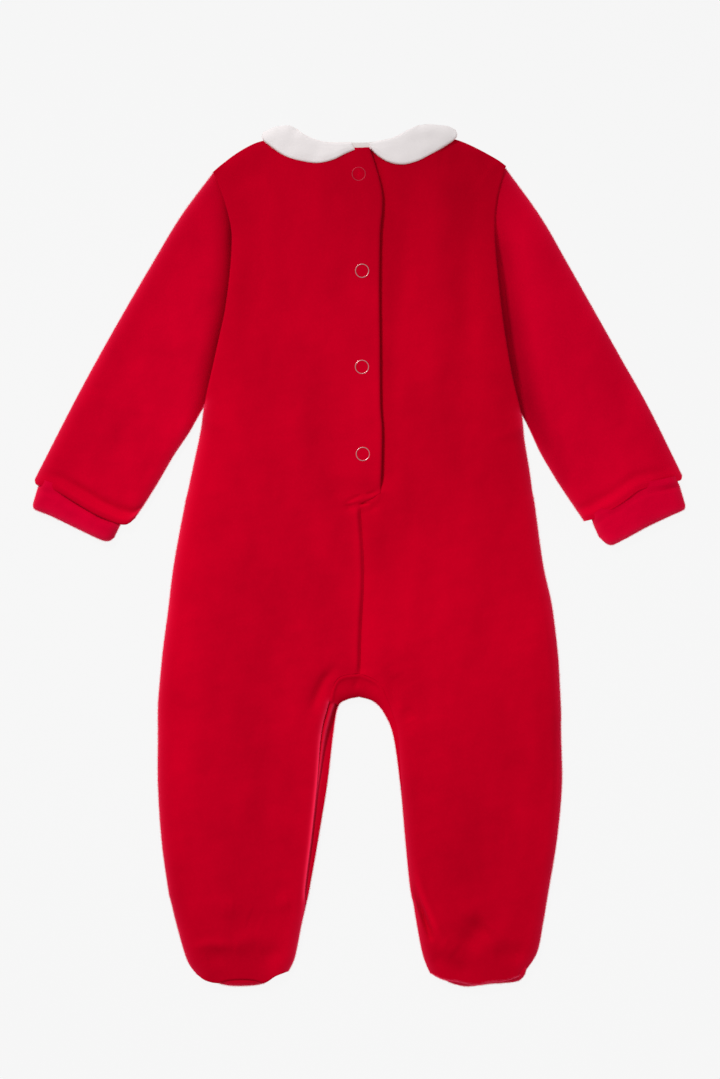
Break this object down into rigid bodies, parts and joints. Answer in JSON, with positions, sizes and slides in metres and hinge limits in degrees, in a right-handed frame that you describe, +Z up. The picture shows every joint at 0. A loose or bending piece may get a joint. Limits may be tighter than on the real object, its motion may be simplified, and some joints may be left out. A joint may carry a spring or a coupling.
{
  "type": "onesie pajama",
  "caption": "Infant's footed onesie in red velour with long sleeves, a flat white collar and a snap-fastened back opening, laid flat with its back up.",
  "frame": {"origin": "under the middle of the laid-out garment, on the surface it lies on", "axes": "+Y from the feet towards the collar, +X to the right as the back is seen, +Z up out of the back"},
  "size_m": [0.444, 0.5866, 0.01],
  "materials": {
    "velour_body": "matte pile",
    "velour_sleeve": "matte pile",
    "collar_cloth": "matte",
    "binding_cloth": "matte",
    "snap_metal": "polished"
  },
  "bodies": {
    "root": {"back_left": "velour_body", "back_right": "velour_body", "front": "velour_body", "crotch_band": "velour_body", "sleeve_left": "velour_sleeve", "sleeve_right": "velour_sleeve", "cuff_left": "velour_sleeve", "cuff_right": "velour_sleeve", "sole_left": "velour_body", "sole_right": "velour_body", "collar_left": "collar_cloth", "collar_right": "collar_cloth", "neck_binding": "binding_cloth", "snap_ring_1": "snap_metal", "snap_ring_2": "snap_metal", "snap_ring_3": "snap_metal", "snap_ring_4": "snap_metal", "snap_stud_1": "snap_metal", "snap_stud_2": "snap_metal", "snap_stud_3": "snap_metal", "snap_stud_4": "snap_metal"}
  },
  "joints": []
}
